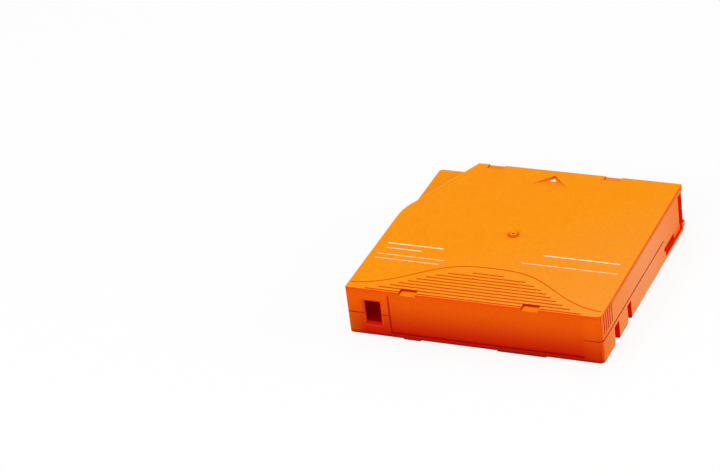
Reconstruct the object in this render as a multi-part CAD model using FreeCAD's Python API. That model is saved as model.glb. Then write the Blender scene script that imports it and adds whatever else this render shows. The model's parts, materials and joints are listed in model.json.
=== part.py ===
import FreeCAD
import Part
import math
import os

# Single-reel half-inch tape cartridge, cleaning version, with its door, reel, brake and leader pin.
# Millimetres. X to the right along the label face, Y towards the insertion end, Z up.
# The origin is at the middle of the footprint, on the plane that the feet stand on.

V = FreeCAD.Vector
UP = V(0, 0, 1)

# Case envelope
WIDTH = 105.4
DEPTH = 102.0
HEIGHT = 21.5
FOOT_DROP = 0.25
SEAM_Z = 10.2
CORNER_R = 2.3
SHELF_CORNER_R = 1.7
ROOF_CORNER_R = 0.8
NEAR_CORNER_R = 1.1
TOP_EDGE_R = 0.5
BOTTOM_EDGE_R = 0.9
HALF_W = WIDTH / 2
HALF_D = DEPTH / 2

# Case walls
WALL = 2.0
ROOF = 2.0
FLOOR = 1.95
FLOOR_Z = FOOT_DROP + FLOOR
ROOF_Z = HEIGHT - ROOF
CAVITY_R = 1.5
INNER_X = HALF_W - WALL
INNER_Y = HALF_D - WALL
SEAM_GROOVE = 0.35
SEAM_GROOVE_DEPTH = 0.5

# Guide step in the far left corner of the upper shell
GUIDE_START_Y = 4.2
GUIDE_ARC_R = 26.0
GUIDE_TURN = math.radians(23.3)
SHELF_Z = 16.3

# Label panel and window in the face towards the user
PANEL_X = (-35.1, 45.0)
PANEL_Z = (2.3, 19.5)
PANEL_DEPTH = 0.6
PANEL_GAP = 0.25
WINDOW_X = (-45.4, -38.6)
WINDOW_Z = (6.3, 15.8)
WINDOW_BEVEL = 1.0
WINDOW_SILL = 1.7
WINDOW_BEVEL_DEPTH = 0.7
WINDOW_POCKET_Y = -42.5
POCKET_WALL = 1.0

# Grip area on the roof: straight grooves under a bell-shaped line
BELL_FOOT_Y = -47.3
BELL_RISE = 21.1
BELL_SPREAD = 33.2
BELL_POWER = 3
BELL_END_X = 51.6
BELL_SPANS = 12
BELL_GROOVE = 0.5
BELL_GROOVE_DEPTH = 0.35
GRIP_COUNT = 10
GRIP_LAST_Y = -50.05
GRIP_PITCH = 2.11
GRIP_GROOVE = 0.75
GRIP_GROOVE_DEPTH = 0.4
GRIP_MARGIN = 4.7
SIDE_GRIP_COUNT = 5
SIDE_GRIP_FIRST_Y = -47.8
SIDE_GRIP_PITCH = 2.25
SIDE_GRIP_GROOVE = 0.8
SIDE_GRIP_DEPTH = 0.5
SIDE_GRIP_Z = (12.3, 20.8)

# Stacking recesses and feet, and small marks on the roof
RECESS_LENGTH = 3.5
RECESS_DEPTHS = ((-1, 1.1), (1, 0.6))
RECESS_SPANS = ((-30.0, -23.0), (20.5, 27.5))
NEAR_FEET = ((-30.0, -23.0), (9.0, 29.0))
FAR_FEET = RECESS_SPANS
FOOT_INSET = 0.3
GATE_AT = (-1.2, 0.4)
GATE_RADII = (0.55, 1.4, 2.4, 4.2)
GATE_DEPTH = 0.6
ARROW_BASE_Y = 38.2
ARROW_TIP_Y = 46.9
ARROW_HALF_WIDTH = 8.2
ARROW_DEPTH = 0.9

# Gripper notches in both sides of the lower shell, as (start, end) along Y
NOTCHES = ((-37.4, -31.9), (-21.9, -17.4))
NOTCH_DEPTH = 4.5
NOTCH_TOP_Z = 8.6
NOTCH_CORNER_R = 2.5

# Door in the right side, with the doorway that it closes
DOORWAY_Y = (24.5, 50.0)
DOORWAY_Z = (4.9, 18.9)
DOOR_Y = (22.6, 47.0)
DOOR_PANEL_X = (50.6, 51.75)
DOOR_STRIP_X = (48.9, 50.1)
DOOR_Z = (2.4, 19.2)
DOOR_GAP = 0.1
DOOR_WEB = 1.1
DOOR_RETURN = 1.0
DOOR_RETURN_TOP = 17.8
DOOR_ARM_Y = 39.5
DOOR_TAB_Y = 47.8
DOOR_TAB_TOP = 4.7
DOOR_LIP_X = 51.9
DOOR_POCKET_Y = 1.0
FINGER_SLOT_Y = 26.0
GUIDE_RIB_X = (47.5, 48.6)
ROOF_RIB_X = (49.2, 50.3)
RIB_NEAR_Y = (14.0, 33.0)
RIB_FAR_Y = (42.5, 50.0)
RIB_HEIGHT = 1.9

# Door spring, lying along Y in a channel of the wall, from the channel's end to the door
DOOR_SPRING_X = 50.75
DOOR_SPRING_Z = 12.4
DOOR_SPRING_R = 0.8
DOOR_SPRING_TURNS = 12
DOOR_SPRING_WIRE = 0.4
SPRING_STOP_Y = -27.2
SPRING_CHANNEL = 2.6
SPIGOT_R = 0.45
SPIGOT_LENGTH = 1.5

# Both coil springs
COIL_SECTIONS = 8
COIL_PLAY = 0.02

# Reel
AXIS = V(0, 0, 0)
FLANGE_R = 48.2
FLANGE = 1.0
FLANGE_Z = 3.2
TAPE_WIDTH = 12.65
TAPE_Z = FLANGE_Z + FLANGE + 0.2
HUB_R = 22.0
HUB_BORE_R = 19.2
HUB_TOP_Z = TAPE_Z + TAPE_WIDTH + 0.2
HUB_FLOOR_Z = 5.2
PACK_R = 37.2
SEAT_RADII = (18.6, 19.8)
WELD_STEP = 0.5

# Drive interface on the underside of the hub
HUB_OPENING_R = 18.0
OPENING_CHAMFER = 0.6
BOSS_R = 17.2
BOSS_Z = 2.6
DRIVE_TEETH = 48
DRIVE_RADII = (11.2, 16.6)
DRIVE_TOOTH = (1.0, 0.35, 1.0)
TOOTH_ROOT = 0.2
PLATE_RADII = (3.0, 10.4)
PLATE_Z = (2.2, 3.2)

# Brake and release pad inside the hub
LOCK_TEETH = 24
LOCK_RADII = (15.2, 18.4)
LOCK_TOOTH = (2.4, 1.0, 1.4)
BRAKE_TIP_Z = 5.4
BRAKE_DISC_Z = (6.8, 8.3)
BRAKE_RADII = (15.4, 18.2)
SLEEVE_RADII = (3.4, 5.6)
SLEEVE_TOP_Z = 13.0
POST_R = 3.0
POST_TIP_Z = 11.2
KEY_WIDTH = 1.2
KEY_REACH = 4.2
KEY_PLAY = 0.25
LEG_COUNT = 3
LEG_RING_R = 12.6
LEG_R = 1.2
LEG_HOLE_R = 1.5
LEG_TIP_Z = 1.9
PAD_TOP_Z = 6.4
PAD_R = 5.0
ARM_WIDTH = 2.6
NUB_R = 1.6
BRAKE_SPRING_R = 7.4
BRAKE_SPRING_WIRE = 0.9
BRAKE_SPRING_TURNS = 5

# Leader pin, its clip, pockets and leaf springs
PIN_AT = (44.0, 37.5)
PIN_Z = (2.45, 19.0)
PIN_KNOB_R = 2.1
PIN_NECK_R = 1.2
PIN_WAIST_R = 1.1
PIN_KNOB = 0.8
PIN_NECK = 0.6
PIN_FLANGE = 0.5
CLIP_RADII = (1.15, 1.9)
CLIP_MARGIN = 0.3
CLIP_MOUTH = math.radians(80)
POCKET_RADII = (2.5, 3.5)
POCKET_HEIGHT = 1.7
POCKET_MOUTH_X = 45.0
LEAF = 0.24
LEAF_HEIGHT = 0.7
LEAF_ANCHOR_Y = (27.5, 30.5)
LEAF_POST = 1.0
LEAF_SLOT_GAP = 0.03
LEAF_END_GAP = 0.05
LEAF_PATH = ((46.6, 27.9), (46.6, 33.0), (46.3, 36.4), (46.3, 38.6), (46.9, 41.4))
TAPE = 0.1
LEAD_CLEARANCE = 0.15

# Memory board in the rear right corner
BOARD_X = (38.8, 49.9)
BOARD_SIZE = 9.4
BOARD = 0.8
BOARD_LOW = (-41.9, 3.2)
GUSSET = 1.0
GUSSET_GAP = 0.15
CHIP_SIZE = 3.6
CHIP = 0.7

# Fastening and locating
SCREWS = ((-34.0, -45.3), (34.0, -45.3), (-46.0, 45.0), (43.4, 45.6))
BOSS_SCREW_R = 3.1
SCREW_R = 1.05
SCREW_HOLE_R = 1.15
SCREW_HEAD_R = 2.1
COUNTERBORE_R = 2.3
SCREW_SEAT_Z = 2.6
SCREW_HEAD = 1.5
SCREW_TIP_Z = 13.2
SCREW_TIP_ROOM = 0.3
SOCKET_R = 1.0
SOCKET_DEPTH = 0.8
LOCATOR_AT = (-46.5, 33.0)
LOCATOR_R = 2.5
LOCATOR_TOP_Z = 4.0
LOCATOR_WALL = 1.0
SLOT_AT = (46.3, -26.9)
SLOT_R = 1.8
SLOT_LENGTH = 6.0

# Low walls round the reel in three corners, as (start, end) in degrees
FENCE_RADII = (49.2, 50.3)
FENCE_SPANS = ((122, 148), (212, 238), (300, 326))
FENCE_HEIGHT = 3.0

OVER = 1.0


def block(xs, ys, zs):
    """Box between the given limits along each axis."""
    return Part.makeBox(xs[1] - xs[0], ys[1] - ys[0], zs[1] - zs[0], V(xs[0], ys[0], zs[0]))


def rod(radius, zs, at=(0, 0)):
    """Upright cylinder."""
    return Part.makeCylinder(radius, zs[1] - zs[0], V(at[0], at[1], zs[0]))


def tube(radii, zs, at=(0, 0)):
    """Upright ring."""
    return rod(radii[1], zs, at).cut(rod(radii[0], (zs[0] - OVER, zs[1] + OVER), at))


def prism(points, zs):
    """Closed polygon in plan, raised between two heights."""
    corners = [V(x, y, zs[0]) for x, y in points]
    face = Part.Face(Part.makePolygon(corners + corners[:1]))
    return face.extrude(V(0, 0, zs[1] - zs[0]))


def side_prism(points, xs):
    """Closed polygon given as (y, z), carried along X."""
    corners = [V(xs[0], y, z) for y, z in points]
    face = Part.Face(Part.makePolygon(corners + corners[:1]))
    return face.extrude(V(xs[1] - xs[0], 0, 0))


def turned(profile, at=(0, 0)):
    """Closed (radius, z) profile turned about an upright axis."""
    corners = [V(at[0] + r, at[1], z) for r, z in profile]
    face = Part.Face(Part.makePolygon(corners + corners[:1]))
    return face.revolve(V(at[0], at[1], 0), UP, 360)


def rounded_block(half_x, half_y, radius, zs):
    """Block about the origin with rounded upright corners."""
    solid = block((-half_x, half_x), (-half_y, half_y), zs)
    upright = [e for e in solid.Edges if abs(e.tangentAt(e.FirstParameter).z) > 0.9]
    return solid.makeFillet(radius, upright)


def edges_at(solid, z):
    """Edges that lie wholly in one level plane."""
    return [e for e in solid.Edges if max(abs(e.BoundBox.ZMin - z), abs(e.BoundBox.ZMax - z)) < 1e-4]


def mirrored(solid):
    """The same solid on the other side of the YZ plane."""
    return solid.mirror(V(0, 0, 0), V(1, 0, 0))


def guide_corner(inset, zs):
    """The corner outside the guide step's line: the left side, an arc tangent to it, then a straight run."""
    radius = GUIDE_ARC_R - inset
    centre = V(-HALF_W + GUIDE_ARC_R, GUIDE_START_Y, zs[0])

    def on_arc(angle):
        return centre + V(-radius * math.cos(angle), radius * math.sin(angle), 0)

    start, middle, end = on_arc(0), on_arc(GUIDE_TURN / 2), on_arc(GUIDE_TURN)
    far_y = HALF_D + OVER
    far = V(end.x + (far_y - end.y) * math.tan(GUIDE_TURN), far_y, zs[0])
    outer_x = -HALF_W - OVER
    rest = Part.makePolygon([end, far, V(outer_x, far_y, zs[0]), V(outer_x, start.y, zs[0]), start])
    wire = Part.Wire([Part.Arc(start, middle, end).toShape()] + rest.Edges)
    return Part.Face(wire).extrude(V(0, 0, zs[1] - zs[0]))


def squarer_corner(side, end, radius, zs):
    """Block that fills one corner of the case out to a radius smaller than the others."""
    xs = sorted((side * (HALF_W - 2 * CORNER_R), side * HALF_W))
    ys = sorted((end * (HALF_D - 2 * CORNER_R), end * HALF_D))
    return rounded_block(HALF_W, HALF_D, radius, zs).common(block(xs, ys, zs))


def case_blank():
    """Outside of the closed case, with the guide step, three squarer corners and rounded edges."""
    low_zs = (FOOT_DROP, SHELF_Z)
    high_zs = (SHELF_Z, HEIGHT)
    low = rounded_block(HALF_W, HALF_D, CORNER_R, low_zs)
    shelf_corner = squarer_corner(-1, 1, SHELF_CORNER_R, low_zs)
    low = low.fuse([shelf_corner, squarer_corner(-1, -1, NEAR_CORNER_R, low_zs)])
    high = rounded_block(HALF_W, HALF_D, CORNER_R, high_zs)
    roof_corner = squarer_corner(1, 1, ROOF_CORNER_R, (DOORWAY_Z[1], HEIGHT))
    high = high.fuse([roof_corner, squarer_corner(-1, -1, NEAR_CORNER_R, high_zs)])
    solid = low.fuse(high.cut(guide_corner(0, (SHELF_Z, HEIGHT + OVER)))).removeSplitter()
    solid = solid.makeFillet(TOP_EDGE_R, edges_at(solid, HEIGHT))
    return solid.makeFillet(BOTTOM_EDGE_R, edges_at(solid, FOOT_DROP))


def case_cavity():
    """Inside of the closed case, with the thin wall that the door slides behind and its spring's channel."""
    cavity = rounded_block(INNER_X, INNER_Y, CAVITY_R, (FLOOR_Z, ROOF_Z))
    cavity = cavity.cut(guide_corner(WALL, (SHELF_Z - ROOF, HEIGHT + OVER)))
    behind_lip = block((INNER_X - OVER, DOOR_LIP_X), (DOOR_POCKET_Y, DOORWAY_Y[1]), (FLOOR_Z, ROOF_Z))
    channel_zs = (DOOR_SPRING_Z - SPRING_CHANNEL / 2, DOOR_SPRING_Z + SPRING_CHANNEL / 2)
    channel = block((INNER_X - OVER, DOOR_LIP_X), (SPRING_STOP_Y, DOORWAY_Y[0]), channel_zs)
    return cavity.fuse([behind_lip, channel])


def doorway():
    """Way through the right side for the pin, and the slot below it for the drive's door finger."""
    inner_x = GUIDE_RIB_X[1]
    way = block((inner_x, HALF_W + OVER), DOORWAY_Y, (DOORWAY_Z[0] - OVER, DOORWAY_Z[1]))
    rear = block((inner_x, HALF_W + OVER), (DOORWAY_Y[0] - OVER, FINGER_SLOT_Y), (FLOOR_Z, DOORWAY_Z[0]))
    slot = block((inner_x, HALF_W + OVER), (FINGER_SLOT_Y, HALF_D + OVER), (FLOOR_Z, DOORWAY_Z[0]))
    return way.cut(rear).fuse(slot)


def seam_groove():
    """Fine recess all round the outside, just above the parting line."""
    zs = (SEAM_Z, SEAM_Z + SEAM_GROOVE)
    inner = rounded_block(HALF_W - SEAM_GROOVE_DEPTH, HALF_D - SEAM_GROOVE_DEPTH, CORNER_R, zs)
    return block((-HALF_W - OVER, HALF_W + OVER), (-HALF_D - OVER, HALF_D + OVER), zs).cut(inner)


def label_tongue(gap):
    """Part of the rear wall that carries the label panel down past the parting line, grown by a gap."""
    xs = (PANEL_X[0] - gap, PANEL_X[1] + gap)
    return block(xs, (-HALF_D + PANEL_DEPTH - gap, -INNER_Y + gap), (PANEL_Z[0] - gap, SEAM_Z + SEAM_GROOVE))


def label_recess():
    """Shallow recess of the label panel."""
    return block(PANEL_X, (-HALF_D - OVER, -HALF_D + PANEL_DEPTH), PANEL_Z)


def window_cut():
    """Window with bevelled surrounds, deeper at the sill, and the pocket behind it."""
    def frame(grow, sill, y):
        xs = (WINDOW_X[0] - grow, WINDOW_X[1] + grow)
        zs = (WINDOW_Z[0] - sill, WINDOW_Z[1] + grow)
        corners = [V(x, y, z) for x, z in ((xs[0], zs[0]), (xs[1], zs[0]), (xs[1], zs[1]), (xs[0], zs[1]))]
        return Part.makePolygon(corners + corners[:1])

    face_y = -HALF_D
    bevel = Part.makeLoft(
        [frame(WINDOW_BEVEL, WINDOW_SILL, face_y), frame(0, 0, face_y + WINDOW_BEVEL_DEPTH)], True
    )
    hole = block(WINDOW_X, (face_y - OVER, WINDOW_POCKET_Y), WINDOW_Z)
    return hole.fuse(bevel)


def window_pocket():
    """Walls of the blind pocket behind the window."""
    xs = (WINDOW_X[0] - POCKET_WALL, WINDOW_X[1] + POCKET_WALL)
    zs = (WINDOW_Z[0] - POCKET_WALL, WINDOW_Z[1] + POCKET_WALL)
    return block(xs, (-INNER_Y - OVER / 2, WINDOW_POCKET_Y + POCKET_WALL), zs)


def bell_y(x):
    """Height of the bell line on the roof: a flat-topped bell curve about the middle."""
    return BELL_FOOT_Y + BELL_RISE * math.exp(-((abs(x) / BELL_SPREAD) ** BELL_POWER))


def bell_groove():
    """Fine groove that follows the bell line from side to side."""
    xs = [BELL_END_X * (2 * i / BELL_SPANS - 1) for i in range(BELL_SPANS + 1)]
    bottom_z = HEIGHT - BELL_GROOVE_DEPTH
    step = 0.01

    def side_points(side):
        points = []
        for x in xs:
            slope = (bell_y(x + step) - bell_y(x - step)) / (2 * step)
            points.append(V(x, bell_y(x) + side * BELL_GROOVE / 2 * math.hypot(1, slope), bottom_z))
        return points

    def curve(points):
        spline = Part.BSplineCurve()
        spline.interpolate(points)
        return spline.toShape()

    near, far = side_points(-1), side_points(1)
    right, left = Part.makeLine(near[-1], far[-1]), Part.makeLine(far[0], near[0])
    face = Part.Face(Part.Wire([curve(near), right, curve(far), left]))
    return face.extrude(V(0, 0, BELL_GROOVE_DEPTH + OVER))


def grip_half_length(y):
    """Half the length of a grip groove, so that it stops short of the bell line."""
    share = (y + GRIP_MARGIN - BELL_FOOT_Y) / BELL_RISE
    return BELL_SPREAD * (-math.log(share)) ** (1 / BELL_POWER)


def grip_grooves():
    """Straight grip grooves across the roof."""
    cuts = []
    zs = (HEIGHT - GRIP_GROOVE_DEPTH, HEIGHT + OVER)
    half = GRIP_GROOVE / 2
    for i in range(GRIP_COUNT):
        y = GRIP_LAST_Y + i * GRIP_PITCH
        reach = grip_half_length(y)
        cuts.append(block((-reach, reach), (y - half, y + half), zs))
    return cuts


def side_grips():
    """Upright grip grooves near the label end of both sides."""
    cuts = []
    for i in range(SIDE_GRIP_COUNT):
        y = SIDE_GRIP_FIRST_Y + i * SIDE_GRIP_PITCH
        ys = (y - SIDE_GRIP_GROOVE / 2, y + SIDE_GRIP_GROOVE / 2)
        groove = block((HALF_W - SIDE_GRIP_DEPTH, HALF_W + OVER), ys, SIDE_GRIP_Z)
        cuts += [groove, mirrored(groove)]
    return cuts


def stacking_blocks(end, spans, inset, zs):
    """Blocks along the near or the far edge: recesses in the roof, feet under the floor."""
    outer = HALF_D - inset
    ys = sorted((end * outer, end * (outer - RECESS_LENGTH)))
    return [block(xs, ys, zs) for xs in spans]


def arrow_recess():
    """Triangle that ramps down from its base to its tip, pointing to the insertion end."""
    tip = (0, ARROW_TIP_Y)
    base = ((-ARROW_HALF_WIDTH, ARROW_BASE_Y), (ARROW_HALF_WIDTH, ARROW_BASE_Y))
    column = prism(base + (tip,), (HEIGHT - ARROW_DEPTH - OVER, HEIGHT + OVER))
    run = ARROW_TIP_Y - ARROW_BASE_Y
    ramp = side_prism(
        (
            (ARROW_BASE_Y, HEIGHT),
            (ARROW_TIP_Y + run, HEIGHT - 2 * ARROW_DEPTH),
            (ARROW_TIP_Y + run, HEIGHT + 2 * OVER),
            (ARROW_BASE_Y, HEIGHT + 2 * OVER),
        ),
        (-ARROW_HALF_WIDTH - OVER, ARROW_HALF_WIDTH + OVER),
    )
    return column.common(ramp)


def gate_mark():
    """Mark of the moulding gate near the middle of the roof: a dimple in a tapered pip, in a conical moat."""
    dimple, pip_top, pip_foot, moat = GATE_RADII
    low_z = HEIGHT - GATE_DEPTH
    ring = turned(((pip_top, HEIGHT), (pip_foot, low_z), (moat, HEIGHT)), GATE_AT)
    return [ring, rod(dimple, (low_z, HEIGHT + OVER), GATE_AT)]


def fences(zs):
    """Low walls concentric with the reel that keep it from rattling."""
    walls = []
    ring = tube(FENCE_RADII, zs)
    reach = 2 * FENCE_RADII[1]
    for start, end in FENCE_SPANS:
        rays = [(reach * math.cos(math.radians(a)), reach * math.sin(math.radians(a))) for a in (start, end)]
        walls.append(ring.common(prism(((0, 0), rays[0], rays[1]), zs)))
    return walls


def pin_pocket(zs):
    """Cup round one end of the leader pin, open towards the doorway."""
    mouth = block((POCKET_MOUTH_X, PIN_AT[0] + 2 * POCKET_RADII[1]), (PIN_AT[1] - HALF_D, HALF_D), zs)
    return tube(POCKET_RADII, zs, PIN_AT).cut(mouth)


def leaf_anchor(zs):
    """Slotted post that holds one end of a leaf spring."""
    post = block((LEAF_PATH[0][0] - LEAF_POST, GUIDE_RIB_X[0]), LEAF_ANCHOR_Y, zs)
    half = LEAF / 2 + LEAF_SLOT_GAP
    return post.cut(block((LEAF_PATH[0][0] - half, LEAF_PATH[0][0] + half), (0, HALF_D), zs))


def teeth(count, radii, tooth, root_z, direction, phase):
    """Ring of radial teeth: each is a trapezoid carried outwards along its radius."""
    base, tip, height = tooth
    made = []
    tip_z = root_z + direction * height
    low_z = root_z - direction * TOOTH_ROOT
    profile = ((-base / 2, low_z), (-base / 2, root_z), (-tip / 2, tip_z))
    profile += tuple((-y, z) for y, z in reversed(profile))
    one = side_prism(profile, radii)
    for i in range(count):
        copy = one.copy()
        copy.rotate(AXIS, UP, 360 / count * (i + phase))
        made.append(copy)
    return made


def strip(path, thickness, zs):
    """Upright strip of even thickness that follows a path in plan."""
    points = [V(x, y, 0) for x, y in path]
    left, right = [], []
    for i, point in enumerate(points):
        before = (point - points[i - 1]).normalize() if i else None
        after = (points[i + 1] - point).normalize() if i + 1 < len(points) else None
        along = ((before or after) + (after or before)).normalize()
        across = V(-along.y, along.x, 0)
        square = V(-(after or before).y, (after or before).x, 0)
        across.multiply(thickness / 2 / across.dot(square))
        left.append(point + across)
        right.append(point - across)
    outline = left + right[::-1]
    return prism([(p.x, p.y) for p in outline], zs)


def coil(radius, wire, turns, length):
    """Open coil of square wire along Z from the origin, in flat facets between its sections."""
    half = wire / 2
    steps = turns * COIL_SECTIONS
    rings = []
    for i in range(steps + 1):
        angle = 2 * math.pi * i / COIL_SECTIONS
        outward = V(math.cos(angle), math.sin(angle), 0)
        middle = outward * radius + UP * (length * i / steps)
        square = ((-1, -1), (1, -1), (1, 1), (-1, 1))
        rings.append([middle + outward * (a * half) + UP * (b * half) for a, b in square])
    outlines = [rings[0], rings[-1]]
    for ring, after in zip(rings, rings[1:]):
        for k in range(4):
            n = (k + 1) % 4
            outlines += [(ring[k], ring[n], after[n]), (ring[k], after[n], after[k])]
    faces = [Part.Face(Part.makePolygon(list(outline) + [outline[0]])) for outline in outlines]
    return Part.Solid(Part.makeShell(faces))


def make_upper_shell():
    """Roof, upper walls and label panel, with the grips, marks, post and bosses moulded on."""
    shell = case_blank().common(block((-HALF_W, HALF_W), (-HALF_D, HALF_D), (SEAM_Z, HEIGHT)))
    inside = case_cavity()
    shell = shell.cut([inside, seam_groove(), label_recess()])
    roof_z = ROOF_Z + OVER / 2
    added = [label_tongue(0)]
    above_seam = block((-HALF_W, HALF_W), (-HALF_D, HALF_D), (SEAM_Z, HEIGHT))
    added.append(window_pocket().common(above_seam))
    added += fences((ROOF_Z - FENCE_HEIGHT, roof_z))
    added.append(pin_pocket((ROOF_Z - POCKET_HEIGHT, roof_z)))
    added.append(leaf_anchor((ROOF_Z - POCKET_HEIGHT, roof_z)))
    added.append(block(ROOF_RIB_X, RIB_NEAR_Y, (ROOF_Z - RIB_HEIGHT / 2, roof_z)))
    added.append(block(GUIDE_RIB_X, RIB_FAR_Y, (SEAM_Z, roof_z)))
    for x, y in SCREWS:
        top_z = SHELF_Z - ROOF if x < -INNER_X + 2 * BOSS_SCREW_R else ROOF_Z
        added.append(rod(BOSS_SCREW_R, (SEAM_Z, top_z + OVER / 2), (x, y)))
    added.append(rod(POST_R, (POST_TIP_Z, roof_z)))
    half = KEY_WIDTH / 2
    added.append(block((-KEY_REACH, KEY_REACH), (-half, half), (POST_TIP_Z, roof_z)))
    shell = shell.fuse(added)
    removed = [doorway(), window_cut(), bell_groove(), arrow_recess()]
    removed += gate_mark() + grip_grooves() + side_grips()
    for end, depth in RECESS_DEPTHS:
        removed += stacking_blocks(end, RECESS_SPANS, 0, (HEIGHT - depth, HEIGHT + OVER))
    removed += [rod(SCREW_HOLE_R, (SEAM_Z - OVER, SCREW_TIP_Z + SCREW_TIP_ROOM), at) for at in SCREWS]
    return shell.cut(removed).removeSplitter()


def notch_tools():
    """Cuts for the gripper notches of the right side: the notch, and the round lower corner before it."""
    cuts = []
    inner_x = HALF_W - NOTCH_DEPTH
    xs = (inner_x, HALF_W + OVER)
    for near_y, far_y in NOTCHES:
        cuts.append(block(xs, (near_y, far_y), (0, NOTCH_TOP_Z)))
        corner = block(xs, (near_y - NOTCH_CORNER_R, near_y), (0, FOOT_DROP + NOTCH_CORNER_R))
        axis_at = V(xs[0], near_y - NOTCH_CORNER_R, FOOT_DROP + NOTCH_CORNER_R)
        cuts.append(corner.cut(Part.makeCylinder(NOTCH_CORNER_R, xs[1] - xs[0], axis_at, V(1, 0, 0))))
    return cuts


def notch_walls():
    """Walls that close the gripper notches off from the inside."""
    walls = []
    for near_y, far_y in NOTCHES:
        xs = (HALF_W - NOTCH_DEPTH - POCKET_WALL, INNER_X + OVER / 2)
        ys = (near_y - NOTCH_CORNER_R - POCKET_WALL / 2, far_y + POCKET_WALL)
        walls.append(block(xs, ys, (FLOOR_Z - OVER / 2, NOTCH_TOP_Z + POCKET_WALL)))
    return walls


def oblong(radius, length, zs, at):
    """Upright slot with round ends, its length along Y."""
    reach = length / 2 - radius
    x, y = at
    ends = [rod(radius, zs, (x, y - reach)), rod(radius, zs, (x, y + reach))]
    return block((x - radius, x + radius), (y - reach, y + reach), zs).fuse(ends)


def board_gussets():
    """Two ribs in the rear right corner with a slope of 45 degrees for the memory board."""
    low_y, low_z = BOARD_LOW
    rear_y = -INNER_Y + GUSSET_GAP
    rise = BOARD_SIZE * math.sqrt(0.5)
    foot_y = low_y + low_z - FLOOR_Z
    profile = (
        (rear_y, FLOOR_Z - OVER / 2),
        (foot_y, FLOOR_Z - OVER / 2),
        (foot_y, FLOOR_Z),
        (max(low_y - rise, rear_y), low_z + min(rise, low_y - rear_y)),
        (rear_y, low_z + min(rise, low_y - rear_y)),
    )
    starts = (BOARD_X[0] + GUSSET_GAP, BOARD_X[1] - GUSSET - GUSSET_GAP)
    return [side_prism(profile, (x, x + GUSSET)) for x in starts]


def make_lower_shell():
    """Floor and lower walls, with notches, feet, bosses, guide ribs and the opening for the drive's hub."""
    below_seam = block((-HALF_W, HALF_W), (-HALF_D, HALF_D), (0, SEAM_Z))
    shell = case_blank().common(below_seam).cut([case_cavity(), label_tongue(PANEL_GAP), label_recess()])
    low_z = FLOOR_Z - OVER / 2
    foot_zs = (0, FOOT_DROP + OVER / 2)
    added = stacking_blocks(-1, NEAR_FEET, FOOT_INSET, foot_zs)
    added += stacking_blocks(1, FAR_FEET, FOOT_INSET, foot_zs)
    added += notch_walls() + [mirrored(w) for w in notch_walls()]
    added.append(window_pocket().common(below_seam))
    added += fences((low_z, FLOOR_Z + FENCE_HEIGHT))
    added.append(pin_pocket((low_z, FLOOR_Z + POCKET_HEIGHT)))
    added.append(leaf_anchor((low_z, FLOOR_Z + POCKET_HEIGHT)))
    added.append(block(GUIDE_RIB_X, RIB_NEAR_Y, (low_z, FLOOR_Z + RIB_HEIGHT)))
    added.append(block(GUIDE_RIB_X, RIB_FAR_Y, (low_z, SEAM_Z)))
    added += [rod(BOSS_SCREW_R, (low_z, SEAM_Z), at) for at in SCREWS]
    top_z = LOCATOR_TOP_Z + LOCATOR_WALL
    added.append(rod(LOCATOR_R + LOCATOR_WALL, (low_z, top_z), LOCATOR_AT))
    added.append(oblong(SLOT_R + LOCATOR_WALL, SLOT_LENGTH + 2 * LOCATOR_WALL, (low_z, top_z), SLOT_AT))
    added += board_gussets()
    shell = shell.fuse(added)
    removed = [doorway(), window_cut()]
    removed += notch_tools() + [mirrored(t) for t in notch_tools()]
    removed.append(rod(HUB_OPENING_R, (0, FLOOR_Z + OVER)))
    rim = HUB_OPENING_R + OPENING_CHAMFER
    chamfer_z = rim + FOOT_DROP - HUB_OPENING_R
    removed.append(turned(((0, 0), (rim + FOOT_DROP, 0), (HUB_OPENING_R, chamfer_z), (0, 1))))
    for at in SCREWS:
        removed.append(rod(SCREW_HOLE_R, (0, SEAM_Z + OVER), at))
        removed.append(rod(COUNTERBORE_R, (0, SCREW_SEAT_Z), at))
    removed.append(rod(LOCATOR_R, (0, LOCATOR_TOP_Z), LOCATOR_AT))
    removed.append(oblong(SLOT_R, SLOT_LENGTH, (0, LOCATOR_TOP_Z), SLOT_AT))
    return shell.cut(removed).removeSplitter()


def make_door():
    """Stepped sliding door: panel above, set-back strip below, and the arm and tab that the drive pushes."""
    deep_xs = (DOOR_STRIP_X[0], DOOR_PANEL_X[1])
    web_z = DOORWAY_Z[0] + DOOR_GAP
    web_top = web_z + DOOR_WEB
    tab_zs = (DOOR_Z[0], DOOR_TAB_TOP)
    panel = block(DOOR_PANEL_X, DOOR_Y, (web_z, DOOR_Z[1]))
    web = block(deep_xs, DOOR_Y, (web_z, web_top))
    lower = block(DOOR_STRIP_X, DOOR_Y, (DOOR_Z[0], web_top))
    back = block(deep_xs, (DOOR_Y[1] - DOOR_RETURN, DOOR_Y[1]), (web_z, DOOR_RETURN_TOP))
    root = block(deep_xs, (DOOR_ARM_Y, DOOR_Y[1]), (DOOR_Z[0], web_top))
    arm = block(deep_xs, (DOOR_ARM_Y, HALF_D), tab_zs)
    tab = block((DOOR_STRIP_X[0], HALF_W), (DOOR_TAB_Y, HALF_D), tab_zs)
    seat_x = (DOOR_SPRING_X - SPRING_CHANNEL / 2, DOOR_PANEL_X[1])
    seat_z = (DOOR_SPRING_Z - SPRING_CHANNEL / 2, DOOR_SPRING_Z + SPRING_CHANNEL / 2)
    seat = block(seat_x, (DOOR_Y[0], DOOR_Y[0] + SPIGOT_LENGTH), seat_z)
    spigot_at = V(DOOR_SPRING_X, DOOR_Y[0] - SPIGOT_LENGTH, DOOR_SPRING_Z)
    spigot = Part.makeCylinder(SPIGOT_R, 2 * SPIGOT_LENGTH, spigot_at, V(0, 1, 0))
    return panel.fuse([web, lower, back, root, arm, tab, seat, spigot]).removeSplitter()


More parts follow.
